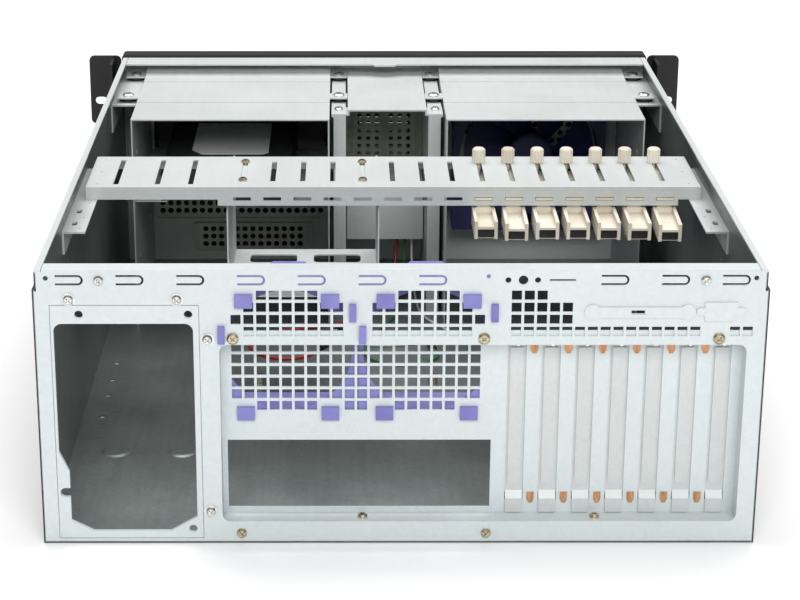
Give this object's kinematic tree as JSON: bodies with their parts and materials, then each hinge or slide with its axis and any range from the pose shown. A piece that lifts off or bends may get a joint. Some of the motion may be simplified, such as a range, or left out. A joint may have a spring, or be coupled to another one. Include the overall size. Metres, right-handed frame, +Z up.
{
  "type": "rack_chassis",
  "caption": "Rack-mount computer case of bare zinc-plated steel with black rack ears and handles, open top, vented rear panel, card slots, card retainers and two drive cages.",
  "frame": {"origin": "on the ground under the middle of the whole chassis, handles included", "axes": "+X to the right as seen from the rear, +Y from the rear panel to the front bezel, +Z up"},
  "size_m": [0.4826, 0.5752, 0.177],
  "materials": {
    "zinc_steel": "zinc-plated sheet steel, faint spangle, satin",
    "black_steel": "black powder coat, fine texture",
    "violet_plastic": "moulded violet plastic, satin",
    "ivory_plastic": "moulded ivory plastic, satin",
    "navy_plastic": "moulded dark blue plastic, satin",
    "black_plastic": "black moulded plastic, fine grain",
    "grey_plastic": "grey moulded plastic, satin",
    "clear_lens": "clear tinted plastic, polished",
    "copper_spring": "copper alloy spring strip, bright",
    "brass_thread": "yellow passivated steel and brass, satin",
    "bright_screw": "nickel plated, bright",
    "black_rubber": "black rubber, matt",
    "drive_shell": "cast and painted dark shell, satin, with bare pale label",
    "filter_foam": "open cell foam, dark",
    "red_insulation": "soft cable insulation, red",
    "white_insulation": "soft cable insulation, white",
    "green_insulation": "soft cable insulation, green"
  },
  "bodies": {
    "root": {"chassis_tub": "zinc_steel", "rear_panel": "zinc_steel", "psu_plate": "zinc_steel", "io_slot_plate": "zinc_steel", "slot_covers": "zinc_steel", "contact_springs": "copper_spring", "rear_fan_holder_left": "violet_plastic", "rear_fan_holder_right": "violet_plastic", "card_bar": "zinc_steel", "bar_brackets": "zinc_steel", "hdd_bracket": "zinc_steel", "storage_drive": "drive_shell", "drive_cage_left": "zinc_steel", "drive_cage_right": "zinc_steel", "cage_rails": "zinc_steel", "centre_uprights": "zinc_steel", "centre_bridge": "zinc_steel", "control_box": "zinc_steel", "centre_vent_panel": "zinc_steel", "bay_blanks": "zinc_steel", "front_panel": "zinc_steel", "front_fan_bracket": "navy_plastic", "front_fan_frame": "black_plastic", "front_bezel": "black_plastic", "bay_covers": "black_plastic", "dust_filter": "filter_foam", "status_lenses": "clear_lens", "rack_ear_left": "black_steel", "rack_ear_right": "black_steel", "grab_handle_left": "black_steel", "grab_handle_right": "black_steel", "board_standoffs": "brass_thread", "panel_screws": "bright_screw", "frame_screws": "brass_thread", "cage_screws": "bright_screw", "cage_grommets": "black_rubber", "lead_red": "red_insulation", "lead_white": "white_insulation", "lead_green": "green_insulation", "lead_plugs": "black_plastic"},
    "card_retainer_1": {"card_retainer_1": "ivory_plastic"},
    "card_retainer_2": {"card_retainer_2": "ivory_plastic"},
    "card_retainer_3": {"card_retainer_3": "ivory_plastic"},
    "card_retainer_4": {"card_retainer_4": "ivory_plastic"},
    "card_retainer_5": {"card_retainer_5": "ivory_plastic"},
    "card_retainer_6": {"card_retainer_6": "ivory_plastic"},
    "card_retainer_7": {"card_retainer_7": "ivory_plastic"},
    "retainer_knob_1": {"retainer_knob_1": "ivory_plastic"},
    "retainer_knob_2": {"retainer_knob_2": "ivory_plastic"},
    "retainer_knob_3": {"retainer_knob_3": "ivory_plastic"},
    "retainer_knob_4": {"retainer_knob_4": "ivory_plastic"},
    "retainer_knob_5": {"retainer_knob_5": "ivory_plastic"},
    "retainer_knob_6": {"retainer_knob_6": "ivory_plastic"},
    "retainer_knob_7": {"retainer_knob_7": "ivory_plastic"},
    "front_fan_rotor": {"front_fan_rotor": "navy_plastic"},
    "front_door": {"front_door": "black_plastic"},
    "door_lock": {"door_lock": "bright_screw"},
    "power_button": {"power_button": "grey_plastic"},
    "reset_button": {"reset_button": "grey_plastic"}
  },
  "joints": [
    {"name": "card_retainer_1_tilt", "type": "hinge", "parent": "root", "child": "card_retainer_1", "pos_m": [0.0609, -0.08635, 0.1567], "axis": [1, 0, 0], "range_deg": [0, 6]},
    {"name": "retainer_knob_1_turn", "type": "hinge", "parent": "root", "child": "retainer_knob_1", "pos_m": [0.0609, -0.02695, 0.165], "axis": [0, 0, -1], "range_deg": [0, 720]},
    {"name": "card_retainer_2_tilt", "type": "hinge", "parent": "root", "child": "card_retainer_2", "pos_m": [0.08122, -0.08635, 0.1567], "axis": [1, 0, 0], "range_deg": [-3, 3]},
    {"name": "retainer_knob_2_turn", "type": "hinge", "parent": "root", "child": "retainer_knob_2", "pos_m": [0.08122, -0.02695, 0.165], "axis": [0, 0, -1], "range_deg": [-360, 360]},
    {"name": "card_retainer_3_tilt", "type": "hinge", "parent": "root", "child": "card_retainer_3", "pos_m": [0.10154, -0.08635, 0.1567], "axis": [1, 0, 0], "range_deg": [-0.8, 5.2]},
    {"name": "retainer_knob_3_turn", "type": "hinge", "parent": "root", "child": "retainer_knob_3", "pos_m": [0.10154, -0.02695, 0.165], "axis": [0, 0, -1], "range_deg": [-96, 624]},
    {"name": "card_retainer_4_tilt", "type": "hinge", "parent": "root", "child": "card_retainer_4", "pos_m": [0.12186, -0.08635, 0.1567], "axis": [1, 0, 0], "range_deg": [-0.8, 5.2]},
    {"name": "retainer_knob_4_turn", "type": "hinge", "parent": "root", "child": "retainer_knob_4", "pos_m": [0.12186, -0.02695, 0.165], "axis": [0, 0, -1], "range_deg": [-96, 624]},
    {"name": "card_retainer_5_tilt", "type": "hinge", "parent": "root", "child": "card_retainer_5", "pos_m": [0.14218, -0.08635, 0.1567], "axis": [1, 0, 0], "range_deg": [-1.5, 4.5]},
    {"name": "retainer_knob_5_turn", "type": "hinge", "parent": "root", "child": "retainer_knob_5", "pos_m": [0.14218, -0.02695, 0.165], "axis": [0, 0, -1], "range_deg": [-180, 540]},
    {"name": "card_retainer_6_tilt", "type": "hinge", "parent": "root", "child": "card_retainer_6", "pos_m": [0.1625, -0.08635, 0.1567], "axis": [1, 0, 0], "range_deg": [-2.2, 3.8]},
    {"name": "retainer_knob_6_turn", "type": "hinge", "parent": "root", "child": "retainer_knob_6", "pos_m": [0.1625, -0.02695, 0.165], "axis": [0, 0, -1], "range_deg": [-264, 456]},
    {"name": "card_retainer_7_tilt", "type": "hinge", "parent": "root", "child": "card_retainer_7", "pos_m": [0.18282, -0.08635, 0.1567], "axis": [1, 0, 0], "range_deg": [-4.5, 1.5]},
    {"name": "retainer_knob_7_turn", "type": "hinge", "parent": "root", "child": "retainer_knob_7", "pos_m": [0.18282, -0.02695, 0.165], "axis": [0, 0, -1], "range_deg": [-540, 180]},
    {"name": "front_fan_spin", "type": "hinge", "parent": "root", "child": "front_fan_rotor", "pos_m": [0.1185, 0.23025, 0.098], "axis": [0, 1, 0], "continuous": true},
    {"name": "front_door_hinge", "type": "hinge", "parent": "root", "child": "front_door", "pos_m": [0.2045, 0.25735, 0.0875], "axis": [0, 0, -1], "range_deg": [0, 90]},
    {"name": "door_lock_turn", "type": "hinge", "parent": "front_door", "child": "door_lock", "pos_m": [0.063, 0.26035, 0.0875], "axis": [0, -1, 0], "range_deg": [0, 90]},
    {"name": "power_button_press", "type": "slide", "parent": "root", "child": "power_button", "axis": [0, -1, 0], "range_m": [0, 0.002], "stiffness_N_per_m": 900, "springref_m": -0.0005},
    {"name": "reset_button_press", "type": "slide", "parent": "root", "child": "reset_button", "axis": [0, -1, 0], "range_m": [0, 0.002], "stiffness_N_per_m": 700, "springref_m": -0.0005}
  ],
  "couplings": [
    {"joint": "card_retainer_1_tilt", "follows": "retainer_knob_1_turn", "ratio": 0.0083333},
    {"joint": "card_retainer_2_tilt", "follows": "retainer_knob_2_turn", "ratio": 0.0083333},
    {"joint": "card_retainer_3_tilt", "follows": "retainer_knob_3_turn", "ratio": 0.0083333},
    {"joint": "card_retainer_4_tilt", "follows": "retainer_knob_4_turn", "ratio": 0.0083333},
    {"joint": "card_retainer_5_tilt", "follows": "retainer_knob_5_turn", "ratio": 0.0083333},
    {"joint": "card_retainer_6_tilt", "follows": "retainer_knob_6_turn", "ratio": 0.0083333},
    {"joint": "card_retainer_7_tilt", "follows": "retainer_knob_7_turn", "ratio": 0.0083333}
  ]
}
